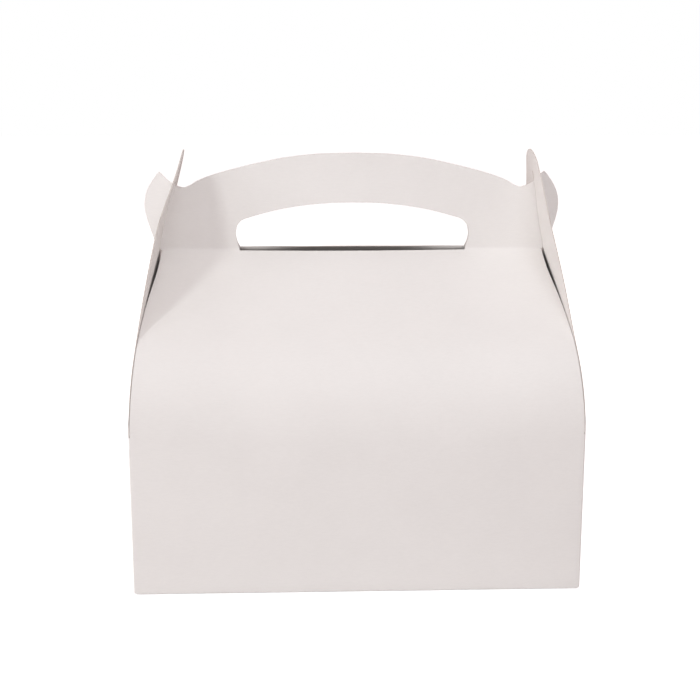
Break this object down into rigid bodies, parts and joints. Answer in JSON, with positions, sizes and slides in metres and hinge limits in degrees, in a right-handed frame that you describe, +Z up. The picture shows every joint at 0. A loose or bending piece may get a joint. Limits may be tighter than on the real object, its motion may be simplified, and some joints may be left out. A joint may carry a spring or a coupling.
{
  "type": "cake box",
  "caption": "Folded paperboard box with a roofed top, an arched carrying handle, end flaps that hook onto it and a lock bottom.",
  "frame": {"origin": "middle of the underside, on the surface the box stands on", "axes": "+Z up, X along the handle, -Y out of the front wall"},
  "size_m": [0.23, 0.15, 0.222],
  "materials": {
    "board": "smooth white coated board, satin"
  },
  "bodies": {
    "carton": {"carton": "board"},
    "left_flap": {"left_end_flap": "board"},
    "right_flap": {"right_end_flap": "board"}
  },
  "joints": [
    {"name": "left_flap_fold", "type": "hinge", "parent": "carton", "child": "left_flap", "pos_m": [-0.11475, 0, 0.084], "axis": [0, -1, 0], "range_deg": [0, 130]},
    {"name": "right_flap_fold", "type": "hinge", "parent": "carton", "child": "right_flap", "pos_m": [0.11475, 0, 0.084], "axis": [0, 1, 0], "range_deg": [0, 130]}
  ]
}
